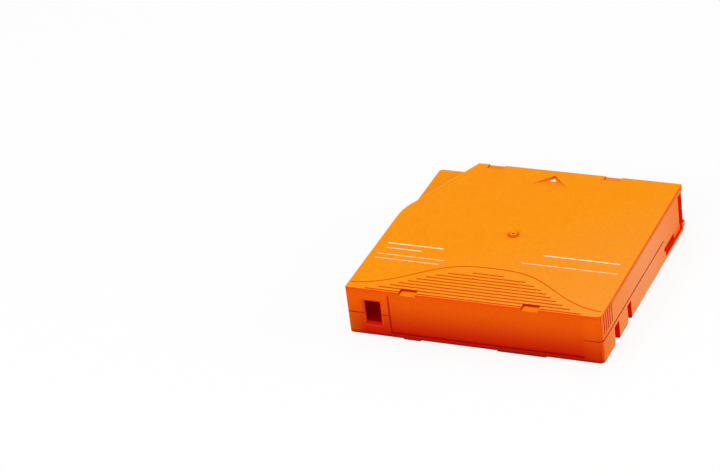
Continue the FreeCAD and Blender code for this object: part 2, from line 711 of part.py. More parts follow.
def make_door_spring():
    """Long coil behind the door, from the end of its channel to the door's rear edge."""
    inset = DOOR_SPRING_WIRE / 2 + COIL_PLAY
    length = DOOR_Y[0] - SPRING_STOP_Y - 2 * inset
    spring = coil(DOOR_SPRING_R, DOOR_SPRING_WIRE, DOOR_SPRING_TURNS, length)
    spring.rotate(AXIS, V(1, 0, 0), -90)
    spring.translate(V(DOOR_SPRING_X, SPRING_STOP_Y + inset, DOOR_SPRING_Z))
    return spring


def make_reel_hub():
    """Hub and lower flange in one, with drive teeth below, lock teeth inside and holes for the pad's legs."""
    profile = (
        (0, BOSS_Z),
        (BOSS_R, BOSS_Z),
        (BOSS_R, FLANGE_Z),
        (SEAT_RADII[0], FLANGE_Z),
        (SEAT_RADII[0], FLOOR_Z),
        (SEAT_RADII[1], FLOOR_Z),
        (SEAT_RADII[1], FLANGE_Z),
        (FLANGE_R, FLANGE_Z),
        (FLANGE_R, FLANGE_Z + FLANGE),
        (HUB_R, FLANGE_Z + FLANGE),
        (HUB_R, HUB_TOP_Z),
        (HUB_BORE_R + WELD_STEP, HUB_TOP_Z),
        (HUB_BORE_R + WELD_STEP, HUB_TOP_Z + FLANGE),
        (HUB_BORE_R, HUB_TOP_Z + FLANGE),
        (HUB_BORE_R, HUB_FLOOR_Z),
        (0, HUB_FLOOR_Z),
    )
    hub = turned(profile)
    hub = hub.cut(rod(PLATE_RADII[1], (0, PLATE_Z[1])))
    below = teeth(DRIVE_TEETH, DRIVE_RADII, DRIVE_TOOTH, BOSS_Z, -1, 0)
    above = teeth(LOCK_TEETH, LOCK_RADII, LOCK_TOOTH, HUB_FLOOR_Z, 1, 0)
    hub = hub.fuse(below + above)
    return hub.cut([rod(LEG_HOLE_R, (0, HUB_TOP_Z), at) for at in leg_places()]).removeSplitter()


def leg_places():
    """Where the release pad's legs pass through the hub's floor."""
    angles = [2 * math.pi * i / LEG_COUNT + math.pi / 2 for i in range(LEG_COUNT)]
    return [(LEG_RING_R * math.cos(a), LEG_RING_R * math.sin(a)) for a in angles]


def make_upper_flange():
    """Flat flange welded on the hub's shoulder."""
    return tube((HUB_BORE_R + WELD_STEP, FLANGE_R), (HUB_TOP_Z, HUB_TOP_Z + FLANGE))


def make_tape_pack():
    """Wound roll of tape."""
    return tube((HUB_R, PACK_R), (TAPE_Z, TAPE_Z + TAPE_WIDTH))


def make_clutch_plate():
    """Steel washer in the middle of the hub's underside."""
    return tube(PLATE_RADII, PLATE_Z)


def make_release_pad():
    """Disc with three arms whose legs reach down through the hub's floor."""
    zs = (HUB_FLOOR_Z, PAD_TOP_Z)
    pad = rod(PAD_R, zs)
    half = ARM_WIDTH / 2
    pieces = []
    for place in leg_places():
        arm = block((0, LEG_RING_R), (-half, half), zs)
        arm.rotate(AXIS, UP, math.degrees(math.atan2(place[1], place[0])))
        pieces += [arm, rod(half, zs, place), rod(LEG_R, (LEG_TIP_Z, PAD_TOP_Z), place)]
    return pad.fuse(pieces).removeSplitter()


def make_brake_button():
    """Toothed disc with a keyed sleeve that slides on the upper shell's post."""
    disc = rod(BRAKE_RADII[1], BRAKE_DISC_Z)
    sleeve = rod(SLEEVE_RADII[1], (BRAKE_DISC_Z[0], SLEEVE_TOP_Z))
    nub = rod(NUB_R, (PAD_TOP_Z, BRAKE_DISC_Z[1]))
    down = teeth(LOCK_TEETH, BRAKE_RADII, LOCK_TOOTH, BRAKE_TIP_Z + LOCK_TOOTH[2], -1, 0.5)
    button = disc.fuse([sleeve, nub] + down)
    well = (BRAKE_DISC_Z[1], SLEEVE_TOP_Z + OVER)
    half = KEY_WIDTH / 2 + KEY_PLAY
    reach = KEY_REACH + KEY_PLAY
    keyway = block((-reach, reach), (-half, half), well)
    return button.cut([rod(SLEEVE_RADII[0], well), keyway]).removeSplitter()


def make_brake_spring():
    """Coil between the brake button and the roof."""
    inset = BRAKE_SPRING_WIRE / 2 + COIL_PLAY
    length = ROOF_Z - BRAKE_DISC_Z[1] - 2 * inset
    spring = coil(BRAKE_SPRING_R, BRAKE_SPRING_WIRE, BRAKE_SPRING_TURNS, length)
    spring.translate(V(0, 0, BRAKE_DISC_Z[1] + inset))
    return spring


def make_leader_pin():
    """Turned pin: knob, gripping neck and flange at each end of a waist as wide as the tape."""
    levels = [PIN_Z[0]]
    for step in (PIN_KNOB, PIN_NECK, PIN_FLANGE):
        levels.append(levels[-1] + step)
    middle = sum(PIN_Z) / 2
    lower = [
        (0, levels[0]),
        (PIN_KNOB_R, levels[0]),
        (PIN_KNOB_R, levels[1]),
        (PIN_NECK_R, levels[1]),
        (PIN_NECK_R, levels[2]),
        (PIN_KNOB_R, levels[2]),
        (PIN_KNOB_R, levels[3]),
        (PIN_WAIST_R, levels[3]),
    ]
    upper = [(r, 2 * middle - z) for r, z in reversed(lower)]
    return turned(lower + upper, PIN_AT)


def lead_ends():
    """Both ends of the free tape in plan: where it leaves the roll, and beside the pin's waist."""
    radius = PACK_R + LEAD_CLEARANCE
    reach = math.hypot(*PIN_AT)
    pin_angle = math.atan2(PIN_AT[1], PIN_AT[0])
    leave = pin_angle - math.acos(radius / reach)
    start = V(radius * math.cos(leave), radius * math.sin(leave), 0)
    end = V(PIN_AT[0], PIN_AT[1], 0)
    along = (end - start).normalize()
    stop = end - along * (PIN_WAIST_R + TAPE)
    return (start.x, start.y), (stop.x, stop.y)


def make_leader_clip():
    """C-shaped clip on the pin's waist, its mouth towards the tape."""
    zs = (TAPE_Z + CLIP_MARGIN, TAPE_Z + TAPE_WIDTH - CLIP_MARGIN)
    start, stop = lead_ends()
    facing = math.atan2(start[1] - stop[1], start[0] - stop[0])
    reach = 3 * CLIP_RADII[1]
    rays = [facing - CLIP_MOUTH / 2, facing + CLIP_MOUTH / 2]
    mouth = [(PIN_AT[0] + reach * math.cos(a), PIN_AT[1] + reach * math.sin(a)) for a in rays]
    return tube(CLIP_RADII, zs, PIN_AT).cut(prism((PIN_AT, mouth[0], mouth[1]), zs))


def make_tape_lead():
    """Free span of tape from the roll to the pin."""
    return strip(lead_ends(), TAPE, (TAPE_Z, TAPE_Z + TAPE_WIDTH))


def make_leaf_spring(low_z):
    """Leaf spring that bears on one end of the leader pin."""
    return strip(LEAF_PATH, LEAF, (low_z, low_z + LEAF_HEIGHT))


def tilted(solid):
    """Turns a flat solid to the board's slope, with its lower edge at the board's foot."""
    solid.rotate(AXIS, V(1, 0, 0), 135)
    solid.translate(V(0, BOARD_LOW[0], BOARD_LOW[1]))
    return solid


def make_memory_board():
    """Small circuit board leaning at 45 degrees on its two ribs."""
    return tilted(block(BOARD_X, (0, BOARD_SIZE), (-BOARD, 0)))


def make_memory_chip():
    """Potted chip on the board's inner face."""
    middle = sum(BOARD_X) / 2
    half = CHIP_SIZE / 2
    ys = (BOARD_SIZE / 2 - half, BOARD_SIZE / 2 + half)
    return tilted(block((middle - half, middle + half), ys, (-BOARD - CHIP, -BOARD)))


def make_case_screws():
    """Four pan-head screws driven up through the lower shell, each with a six-sided socket."""
    head_zs = (SCREW_SEAT_Z - SCREW_HEAD, SCREW_SEAT_Z)
    screws = []
    for at in SCREWS:
        shank = rod(SCREW_R, (head_zs[0] + SOCKET_DEPTH, SCREW_TIP_Z), at)
        screw = rod(SCREW_HEAD_R, head_zs, at).fuse(shank)
        angles = [math.pi * i / 3 for i in range(6)]
        socket = [(at[0] + SOCKET_R * math.cos(a), at[1] + SOCKET_R * math.sin(a)) for a in angles]
        screws.append(screw.cut(prism(socket, (head_zs[0] - OVER, head_zs[0] + SOCKET_DEPTH))))
    return Part.makeCompound(screws)


def main():
    parts = {
        "upper_shell": make_upper_shell(),
        "lower_shell": make_lower_shell(),
        "door": make_door(),
        "door_spring": make_door_spring(),
        "leader_pin": make_leader_pin(),
        "leader_clip": make_leader_clip(),
        "lower_pin_spring": make_leaf_spring(PIN_Z[0] + LEAF_END_GAP),
        "upper_pin_spring": make_leaf_spring(PIN_Z[1] - LEAF_HEIGHT - LEAF_END_GAP),
        "tape_lead": make_tape_lead(),
        "tape_pack": make_tape_pack(),
        "reel_hub": make_reel_hub(),
        "upper_flange": make_upper_flange(),
        "clutch_plate": make_clutch_plate(),
        "release_pad": make_release_pad(),
        "brake_button": make_brake_button(),
        "brake_spring": make_brake_spring(),
        "memory_board": make_memory_board(),
        "memory_chip": make_memory_chip(),
        "case_screws": make_case_screws(),
    }
    os.makedirs("parts", exist_ok=True)
    for name, shape in parts.items():
        shape.exportStep(os.path.join("parts", name + ".step"))
        box = shape.BoundBox
        print(
            f"{name}: {len(shape.Solids)} solid(s), {shape.Volume:.1f} mm3, valid {shape.isValid()}, "
            f"x {box.XMin:.2f} {box.XMax:.2f}, y {box.YMin:.2f} {box.YMax:.2f}, z {box.ZMin:.2f} {box.ZMax:.2f}"
        )


main()
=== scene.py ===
# %% [markdown]
# # A tape cleaning cartridge
# A flat orange case about 105 mm wide holds one reel of tape. The case, the door and the reel come as
# solids from the CAD model, so their shapes are already true. This lesson gives them their finishes,
# makes the two coil springs and the white print anew, and sets up the studio. Blender starts with a few
# objects of its own, so those are taken away first.

# %% Load the frame
import json
import math
from types import SimpleNamespace

import bpy
import numpy as np
from mathutils import Matrix, Vector

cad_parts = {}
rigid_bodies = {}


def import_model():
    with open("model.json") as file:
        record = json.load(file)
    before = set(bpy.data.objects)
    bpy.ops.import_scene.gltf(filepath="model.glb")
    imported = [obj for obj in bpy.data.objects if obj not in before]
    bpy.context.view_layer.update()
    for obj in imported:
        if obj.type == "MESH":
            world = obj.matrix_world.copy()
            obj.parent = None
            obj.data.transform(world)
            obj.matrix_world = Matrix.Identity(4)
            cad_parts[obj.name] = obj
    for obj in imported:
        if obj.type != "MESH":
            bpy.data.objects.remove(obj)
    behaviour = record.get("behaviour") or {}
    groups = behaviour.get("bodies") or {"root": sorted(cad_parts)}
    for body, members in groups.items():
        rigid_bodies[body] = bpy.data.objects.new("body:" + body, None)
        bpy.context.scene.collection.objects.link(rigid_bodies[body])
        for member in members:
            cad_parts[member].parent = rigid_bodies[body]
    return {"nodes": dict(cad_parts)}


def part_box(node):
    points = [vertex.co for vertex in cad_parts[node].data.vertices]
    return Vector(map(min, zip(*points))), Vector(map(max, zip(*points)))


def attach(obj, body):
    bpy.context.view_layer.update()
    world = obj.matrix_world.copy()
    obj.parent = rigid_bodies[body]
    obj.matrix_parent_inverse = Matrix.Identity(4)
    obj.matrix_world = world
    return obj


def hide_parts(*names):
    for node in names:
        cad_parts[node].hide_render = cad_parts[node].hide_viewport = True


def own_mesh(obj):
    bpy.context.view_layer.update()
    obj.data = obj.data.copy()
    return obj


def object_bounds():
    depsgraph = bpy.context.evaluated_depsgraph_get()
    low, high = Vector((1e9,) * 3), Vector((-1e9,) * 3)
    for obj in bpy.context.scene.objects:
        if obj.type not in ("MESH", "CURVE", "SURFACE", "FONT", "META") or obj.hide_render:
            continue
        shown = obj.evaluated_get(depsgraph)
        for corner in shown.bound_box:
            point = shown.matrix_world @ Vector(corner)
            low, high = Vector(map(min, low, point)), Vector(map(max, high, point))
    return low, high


for leftover in list(bpy.data.objects):
    bpy.data.objects.remove(leftover)
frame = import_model()
cad_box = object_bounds()
nodes = frame["nodes"]
MM = 0.001
print("nodes:", len(nodes), "box:", [[round(v, 4) for v in corner] for corner in cad_box])

# %% [markdown]
# ## The camera
# The picture was taken from far away with a long lens, a little from the right and from above, and the
# camera was tipped sideways by a few degrees. It could be aimed by hand, but three angles are easier to
# change. A camera looks along its own minus Z, so the third column of its matrix points back from the
# target to the lens, and the other two columns are its right and its up.

# %% Camera
AZIMUTH = math.radians(26.546)
ELEVATION = math.radians(30.472)
ROLL = math.radians(-7.6075)
LENS_MM = 150.043
TARGET = np.array([-70.601, 4.409, 9.538]) * MM
DISTANCE = 1.22442
FARTHEST_SEEN = 10


def camera_axes(azimuth, elevation, roll):
    """Right, up and back of a camera: back from two angles, right level, then both turned by the roll."""
    back = np.array([
        math.sin(azimuth) * math.cos(elevation),
        -math.cos(azimuth) * math.cos(elevation),
        math.sin(elevation),
    ])
    level = np.cross([0, 0, 1], back)
    level /= np.linalg.norm(level)
    upright = np.cross(back, level)
    right = math.cos(roll) * level + math.sin(roll) * upright
    up = -math.sin(roll) * level + math.cos(roll) * upright
    return right, up, back


right, up, back = camera_axes(AZIMUTH, ELEVATION, ROLL)
camera_data = bpy.data.cameras.new("camera")
camera_data.lens = LENS_MM
camera_data.clip_end = FARTHEST_SEEN
camera = bpy.data.objects.new("camera", camera_data)
camera_matrix = np.eye(4)
camera_matrix[:3, :3] = np.stack([right, up, back], 1)
camera_matrix[:3, 3] = TARGET + back * DISTANCE
camera.matrix_world = Matrix(camera_matrix.tolist())
bpy.context.scene.collection.objects.link(camera)
bpy.context.scene.camera = camera
print("camera at", camera_matrix[:3, 3].round(3))

# %% [markdown]
# ## Writing shaders as sums
# A material in Blender is a graph of nodes, and a graph of a hundred nodes is hard to read or change by
# hand. Wrapping one output socket in a small class lets ordinary arithmetic add the Math nodes: `1 - mask`
# or `height * 0.2` reads like the formula that it is. Every other kind of node comes from the one method
# `node`.


# %% Sockets with arithmetic
class Wire:
    """One output of a material's node graph; arithmetic on it adds Math nodes."""

    def __init__(self, tree, output=None):
        self.tree = tree
        self.output = output

    def node(self, kind, settings=None, values=None, result=0):
        """Adds a node of that kind, sets it up, then gives its inputs their values or links."""
        made = self.tree.nodes.new("ShaderNode" + kind)
        for name, setting in (settings or {}).items():
            setattr(made, name, setting)
        for key, value in (values or {}).items():
            if isinstance(value, Wire):
                self.tree.links.new(value.output, made.inputs[key])
            else:
                made.inputs[key].default_value = value
        return Wire(self.tree, made.outputs[result] if len(made.outputs) else None)

    def math(self, operation, first, second=0.0):
        """Adds a Math node that does the operation on one or two values."""
        return self.node("Math", {"operation": operation}, {0: first, 1: second})

    def __add__(self, other):
        return self.math("ADD", self, other)

    def __radd__(self, other):
        return self.math("ADD", other, self)

    def __sub__(self, other):
        return self.math("SUBTRACT", self, other)

    def __rsub__(self, other):
        return self.math("SUBTRACT", other, self)

    def __mul__(self, other):
        return self.math("MULTIPLY", self, other)

    def __rmul__(self, other):
        return self.math("MULTIPLY", other, self)

    def __pow__(self, other):
        return self.math("POWER", self, other)

    def __lt__(self, other):
        return self.math("LESS_THAN", self, other)

    def __gt__(self, other):
        return self.math("GREATER_THAN", self, other)

    def __abs__(self):
        return self.math("ABSOLUTE", self)

    def clamped(self, low, high):
        """The value brought from low..high to 0..1, and held there outside it."""
        return self.node("MapRange", {"clamp": True}, {"Value": self, "From Min": low, "From Max": high})

    def eased(self, low, high):
        """The same as clamped, with a soft start and end."""
        ease = {"clamp": True, "interpolation_type": "SMOOTHSTEP"}
        return self.node("MapRange", ease, {"Value": self, "From Min": low, "From Max": high})

    def axes(self):
        """The three parts of a vector."""
        split = self.node("SeparateXYZ", None, {0: self}).output.node
        return [Wire(self.tree, part) for part in split.outputs]

    def noise(self, scale, detail=2.0, rough=0.5):
        """Smooth noise over this position, with about `scale` lumps to the metre."""
        values = {"Vector": self, "Scale": scale, "Detail": detail, "Roughness": rough}
        return self.node("TexNoise", None, values)

    def blend(self, first, second):
        """A colour between two colours, by this share."""
        return self.node("Mix", {"data_type": "RGBA"}, {0: self, 6: first, 7: second}, 2)


print("socket class ready")

# %% [markdown]
# Each finish starts from the same three things: an empty material, the position on the piece, and the
# normal there. It ends in one Principled shader. The position could be read in the world, but `Object`
# coordinates are metres on the piece itself, so a pattern keeps its real size and rides along when the
# piece moves.

# %% Start and end of a finish
NORMAL_OUTPUT, OBJECT_OUTPUT = 1, 3


def empty_material(name):
    """A new material with no nodes, and a wire to start its graph with."""
    material = bpy.data.materials.new(name)
    material.use_nodes = True
    material.node_tree.nodes.clear()
    return material, Wire(material.node_tree)


def start_finish(name):
    """A new material; returns it with its position and normal on the piece."""
    material, start = empty_material(name)
    position = start.node("TexCoord", None, None, OBJECT_OUTPUT)
    normal = start.node("TexCoord", None, None, NORMAL_OUTPUT)
    return material, position, normal


def end_finish(material, values, height, depth):
    """Feeds a Principled shader; a height, in units of `depth` metres, becomes its bump."""
    start = Wire(material.node_tree)
    bump = start.node("Bump", None, {"Strength": 1.0, "Distance": depth, "Height": height})
    shader = start.node("BsdfPrincipled", None, {**values, "Normal": bump})
    start.node("OutputMaterial", None, {"Surface": shader})
    return material


def dress(material, *names):
    """Puts a finish on CAD nodes in place of the plain one that they came with."""
    for name in names:
        mesh = nodes[name].data
        mesh.materials.clear()
        mesh.materials.append(material)
    print(material.name, "on", ", ".join(names))


print("finish helpers ready")

# %% [markdown]
# ## Moulded orange plastic
# The case is moulded in a pigmented plastic that seems to let light in, so its colour depends on where the
# light gets out again; here that light and shade are painted into its colour. One orange all over would
# look like paint, and a painted picture would blur close up. So each place gets a mask from 0 to 1, worked
# out from the position and the normal, and the colours, painted shade, sheen, highlight and glow among
# them, go on by those masks. The case is measured first: its sides, its ends and its roof.

# %% Measures of the case
SIDE_X, END_Y, ROOF = cad_box[1]
FRONT_Y = cad_box[0][1]
SHELF = 15 * MM
GRIP_FLOOR = 20 * MM
FLOOR_TOP = 3 * MM


def measures(position, normal):
    """The position and the normal by axis, with the distance behind the front."""
    x, y, z = position.axes()
    across, along, upward = normal.axes()
    return SimpleNamespace(
        x=x, y=y, z=z, across=across, along=along, upward=upward, behind_front=y - FRONT_Y
    )


print("roof at", round(ROOF / MM, 2), "mm, front at", round(FRONT_Y / MM, 2), "mm")

# %% [markdown]
# The front has a window with a bevelled frame at the left and a sunk label panel. Faces could be picked in
# the mesh by hand, but a box in the front's plane and a depth behind it find the same places by formula.
# In the window's box the frame starts 0.1 mm behind the front, and the pocket covers it from 0.8 mm on.

# %% Places on the front
WINDOW_MIDDLE = (-42.0 * MM, 10.7 * MM)
WINDOW_HALF = (4.6 * MM, 6.2 * MM)
FRAME_DEPTHS = (0.1 * MM, 0.3 * MM)
POCKET_DEPTHS = (0.8 * MM, 2 * MM)
POCKET_END = 10 * MM
PANEL_MIDDLE, PANEL_HALF, PANEL_FOOT = 4.95 * MM, 40.35 * MM, 2.3 * MM
PANEL_SINK, PANEL_END = 0.6 * MM, 5 * MM
FOOT_LINE, LEFT_LINE = 0.4 * MM, 0.8 * MM
BROW, BROW_HALF, BROW_SHARE = 20.55 * MM, 0.45 * MM, 0.8


def front_places(at):
    """Masks of the window, the label panel and the brow: boxes in x and z, times ranges of depth."""
    in_width = abs(at.x - WINDOW_MIDDLE[0]) < WINDOW_HALF[0]
    in_height = abs(at.z - WINDOW_MIDDLE[1]) < WINDOW_HALF[1]
    window = in_width * in_height * (at.behind_front < POCKET_END)
    bevel = at.behind_front.clamped(*FRAME_DEPTHS) * window
    panel = (at.behind_front < PANEL_END) * (abs(at.x - PANEL_MIDDLE) < PANEL_HALF)
    low_line = at.z < PANEL_FOOT + FOOT_LINE
    left_line = at.x < PANEL_MIDDLE - PANEL_HALF + LEFT_LINE
    on_sunk_face = abs(at.behind_front - PANEL_SINK) < 0.1 * MM
    ledge = (at.upward > 0.8) * (at.z < PANEL_FOOT + 0.1 * MM) * (at.behind_front < PANEL_SINK + 0.1 * MM)
    brow = (at.along < -0.9) * (abs(at.z - BROW) < BROW_HALF) * (at.behind_front < 0.3 * MM)
    return {
        "frame": bevel,
        "sill": bevel * at.upward.clamped(0.2, 0.35),
        "pocket": at.behind_front.clamped(*POCKET_DEPTHS) * window,
        "panel": panel,
        "panel rim": (low_line + left_line).clamped(0, 1) * panel * on_sunk_face,
        "ledge": panel * ledge,
        "brow": BROW_SHARE * brow,
    }


print("front: window at x", WINDOW_MIDDLE[0] / MM, "mm, panel", 2 * PANEL_HALF / MM, "mm wide")

# %% [markdown]
# A wall is inner where its normal is level but it does not lie on the outside. A shallow one belongs to a
# groove and gets painted shade, a deeper tone. A deep one, in a gripper notch or the doorway, gets a
# painted red glow for the light that comes through the plastic. The guide step's wall at the left has a
# level normal too, but it is seen as a part of the outside, so it is taken out. Naming the faces one by one
# would break with every change of the mesh; these rules need only the case's measures.

# %% Inner walls
FEET = 0.3 * MM
END_WALL, SIDE_WALL = 0.8 * MM, 1.2 * MM
GUIDE_RIGHT = -33 * MM
NOTCH_TOP = SHELF - 3 * MM
DOORWAY_X, DOORWAY_NEAR, DOORWAY_FAR = 44 * MM, 22 * MM, 45 * MM
SLOT_SHARE = 0.6


def wall_places(at):
    """Masks of the walls that lie deeper than the outside: all of them, the shallow and the deep ones."""
    ends = abs(at.along).clamped(0.45, 0.65) * (abs(at.y) < END_Y - END_WALL)
    inside = abs(at.x) < SIDE_X - SIDE_WALL
    off_guide = ((at.x > GUIDE_RIGHT) + (at.y < 0)).clamped(0, 1)
    sides = abs(at.across).clamped(0.6, 0.9) * inside * (at.z < SHELF + off_guide * ROOF)
    inner = at.z.math("MAXIMUM", ends, sides)
    off_side = (inside + (at.z < NOTCH_TOP) + (at.y > DOORWAY_FAR)).clamped(0, 1)
    deep = off_side * (at.z < GRIP_FLOOR) * (at.z > FEET)
    # Painted red glow also on the floor of the slot under the door.
    slot_floor = (at.x > DOORWAY_X) * (at.y > DOORWAY_NEAR) * (at.upward > 0.8) * (at.z < FLOOR_TOP)
    return {"inner": inner, "groove": inner * (1 - deep), "wall": inner * deep + SLOT_SHARE * slot_floor}


print("inner walls: more than", SIDE_WALL / MM, "mm inside the sides")

# %% [markdown]
# The roof carries small moulded marks: recesses that take the feet of the next cartridge, a sunk arrow, the
# round gate mark where the plastic came in, and a slanting step at the left that guides the case into a
# drive. Ribs for the fingers stand at the near end of both sides. Each is found by its own distance: from a
# middle, a point or a slanted line.

# %% Places on the roof
RECESS_MIDDLE, RECESS_SPREAD, RECESS_HALF, RECESS_Y = -1.25 * MM, 25.25 * MM, 3.6 * MM, 47.4 * MM
ARROW_HALF, ARROW_BASE, ARROW_TIP = 8.2 * MM, 38.2 * MM, 46.9 * MM
ARROW_MIDDLE = (ARROW_BASE + ARROW_TIP) / 2
GATE, GATE_RADIUS = (-1.2 * MM, 0.4 * MM), 2.5 * MM
GUIDE_POINT, GUIDE_TURN, GUIDE_LINE = (-50.58 * MM, 14.48 * MM), math.radians(23.3), 0.45 * MM
RIBS_MIDDLE = (-45.2 * MM, 16.5 * MM)
RIBS_HALF = (4 * MM, 4.3 * MM)


def roof_places(at, inner):
    """Masks of the marks in the roof and the ribs at the sides, by distance from each one's middle."""
    high = at.z > GRIP_FLOOR
    recess = (abs(abs(at.x - RECESS_MIDDLE) - RECESS_SPREAD) < RECESS_HALF) * (abs(at.y) > RECESS_Y) * high
    arrow = (abs(at.x) < ARROW_HALF) * (abs(at.y - ARROW_MIDDLE) < ARROW_HALF / 2) * high
    from_gate = ((at.x - GATE[0]) ** 2 + (at.y - GATE[1]) ** 2) ** 0.5
    past_guide = at.y - GUIDE_POINT[1]
    from_guide = (at.x - GUIDE_POINT[0]) * math.cos(GUIDE_TURN) - past_guide * math.sin(GUIDE_TURN)
    ribs = (abs(at.y - RIBS_MIDDLE[0]) < RIBS_HALF[0]) * (abs(at.z - RIBS_MIDDLE[1]) < RIBS_HALF[1])
    return {
        # Painted highlight: a thin strip of the roof along the guide step's edge.
        "guide highlight": (from_guide < GUIDE_LINE) * (past_guide > 0) * (at.upward > 0.2) * high,
        "side grip": (abs(at.x) > SIDE_X - SIDE_WALL) * ribs,
        "recess": inner * recess,
        "recess floor": recess * (at.upward > 0.9) * (at.z < ROOF - 0.3 * MM),
        "arrow wall": inner * arrow,
        "arrow floor": arrow * (1 - inner) * (ROOF - at.z).clamped(0.05 * MM, 0.4 * MM),
        "gate": (from_gate < GATE_RADIUS) * (1 - at.upward.clamped(0.87, 0.97)) * (at.z > SHELF),
    }


print("roof: arrow", round((ARROW_TIP - ARROW_BASE) / MM, 1), "mm long")

# %% [markdown]
# What is left are the plain outer faces. The normal tells them apart: upward on the roof, sideways on the
# sides, in between on the rounded edge. A ramp of the normal makes that edge a soft band, where a step
# would draw a hard line. The seam where the two halves of the case meet is a thin band at one height.

# %% Outer faces
ROUNDING = 0.6 * MM
SIDE_TOP = (ROOF - 2.3 * MM, ROOF - 0.9 * MM)
SEAM, SEAM_HALF, SEAM_EXTRA = 10.37 * MM, 0.2 * MM, 0.15 * MM
LOWER_EDGE = (2.4 * MM, 0.4 * MM)


def outer_places(at, bevel, panel):
    """Masks of the outer faces by ramps of the normal, and of the lines along them by height."""
    outside = ((abs(at.x) > SIDE_X - ROUNDING) + (abs(at.y) > END_Y - ROUNDING)).clamped(0, 1)
    sides = abs(at.across).clamped(0.6, 0.97)
    high = at.z > SHELF
    return {
        "sides": sides * (1 - bevel),
        "side top": sides * at.z.clamped(*SIDE_TOP),
        "edge": at.upward.clamped(0.05, 0.35) * high,
        "roof": at.upward.clamped(0.80, 0.97) * high,
        "seam": (abs(at.z - SEAM) < abs(at.across) * SEAM_EXTRA + SEAM_HALF) * (1 - panel) * outside,
        "base": (0 - at.upward).clamped(0.6, 0.95) * (at.z < FLOOR_TOP),
        "lower edge": at.z.clamped(*LOWER_EDGE) * (at.along < -0.4) * (at.behind_front < 2 * MM),
    }


def case_places(at):
    """All masks of the case by name."""
    place = front_places(at) | wall_places(at)
    place |= roof_places(at, place["inner"])
    place |= outer_places(at, place["frame"], place["panel"])
    return place


print("seam at", SEAM / MM, "mm")

# %% [markdown]
# ## Tones of the case
# The end faces carry painted shade: orange above, turning redder towards the floor, with a less red foot at
# both corners. The long sides carry a painted sheen: paler, most of all in the middle. Coloured lamps could
# give some of this, but each would tint every face that it reaches, so the painted light and shade are
# blended along each face instead.

# %% Front and sides
# Painted shade: the end faces turn from the front's orange to the shaded foot tones towards the floor.
FRONT_ORANGE = (0.955, 0.122, 0.001, 1.0)
FRONT_RIGHT = (1.00, 0.128, 0.001, 1.0)
SHADED_FOOT_ORANGE = (0.61, 0.002, 0.001, 1.0)
SHADED_FOOT_RIGHT = (0.63, 0.024, 0.001, 1.0)
SHADED_FOOT_LEFT = (0.63, 0.100, 0.001, 1.0)
# Painted sheen on the long sides: paler towards the middle, deeper at the near corner.
CORNER_ORANGE = (0.94, 0.190, 0.010, 1.0)
NEAR_SHEEN = (0.98, 0.275, 0.050, 1.0)
MIDDLE_SHEEN = (1.00, 0.330, 0.104, 1.0)
FAR_SHEEN = (1.00, 0.236, 0.033, 1.0)
FRONT_RIGHT_SPAN = (44 * MM, 47 * MM)
FOOT_RIGHT_SPAN = (43 * MM, 50 * MM)
FOOT_LEFT_SPAN = (-46 * MM, -52 * MM)
FRONT_HEIGHTS = (-0.8 * MM, 19 * MM)
CORNER_SPAN = (1 * MM, 15 * MM)
NEAR_SPAN = (-36 * MM, 0)
FAR_SPAN = (10 * MM, 42 * MM)


def front_painted_shade(at):
    """End faces: painted shade, a soft ramp of the height from the foot's tone to the front's, each varied
    along x.
    """
    foot = at.x.clamped(*FOOT_RIGHT_SPAN).blend(SHADED_FOOT_ORANGE, SHADED_FOOT_RIGHT)
    foot = at.x.clamped(*FOOT_LEFT_SPAN).blend(foot, SHADED_FOOT_LEFT)
    front = at.x.clamped(*FRONT_RIGHT_SPAN).blend(FRONT_ORANGE, FRONT_RIGHT)
    return at.z.eased(*FRONT_HEIGHTS).blend(foot, front)


def side_painted_sheen(at):
    """Long sides: painted sheen, ramps along y from the near corner over the pale middle to the far end."""
    pale = at.y.clamped(*NEAR_SPAN).blend(NEAR_SHEEN, MIDDLE_SHEEN)
    pale = at.y.clamped(*FAR_SPAN).blend(pale, FAR_SHEEN)
    return at.behind_front.clamped(*CORNER_SPAN).blend(CORNER_ORANGE, pale)


print("front and side tones ready")

# %% [markdown]
# The roof is bright and a little paler towards the near right, with painted shade where it rounds over and
# a painted highlight along the guide step. The grooves of the ribs, the recesses and the panel rim are thin
# lines of painted shade, and the seam is a thin line of red. The window has a frame painted lighter round a
# pocket painted dark, and the front ends in a shaded lower edge. Sums of masks could overshoot where two
# places meet, so the tones go on one after another: a later one covers an earlier one where its mask is 1.

# %% Roof, lines and walls
ROOF_ORANGE = (0.845, 0.272, 0.001, 1.0)
ROOF_PALE = (0.840, 0.284, 0.024, 1.0)
# Painted shade on the rounded edge between roof and front, and along the tops of the sides.
EDGE_SHADE_ORANGE = (0.84, 0.140, 0.001, 1.0)
EDGE_SHADE_RED = (0.82, 0.062, 0.001, 1.0)
# Painted highlight along the edge of the guide step.
GUIDE_HIGHLIGHT = (1.00, 0.520, 0.130, 1.0)
BROW_ORANGE = (1.00, 0.090, 0.001, 1.0)
GRIP_ORANGE = (1.00, 0.190, 0.038, 1.0)
# Painted light on the window's bevelled frame.
FRAME_LIT_ORANGE = (1.00, 0.085, 0.003, 1.0)
# Painted shade on the walls of shallow grooves.
GROOVE_SHADE = (0.78, 0.095, 0.001, 1.0)
# Painted shade on the sloped faces of the gate mark.
GATE_SHADE = (0.65, 0.100, 0.001, 1.0)
ARROW_SHADE = (0.70, 0.160, 0.001, 1.0)
# Painted shade on the sunk floors of the arrow and the roof recesses.
SUNK_FLOOR_SHADE = (0.84, 0.215, 0.001, 1.0)
SEAM_RED = (0.64, 0.010, 0.001, 1.0)
# Painted shade in the grooves near the front and along the label panel's rim.
RIM_SHADE = (0.80, 0.050, 0.001, 1.0)
# Painted shade on the walls of the roof recesses.
RECESS_SHADE = (0.54, 0.008, 0.001, 1.0)
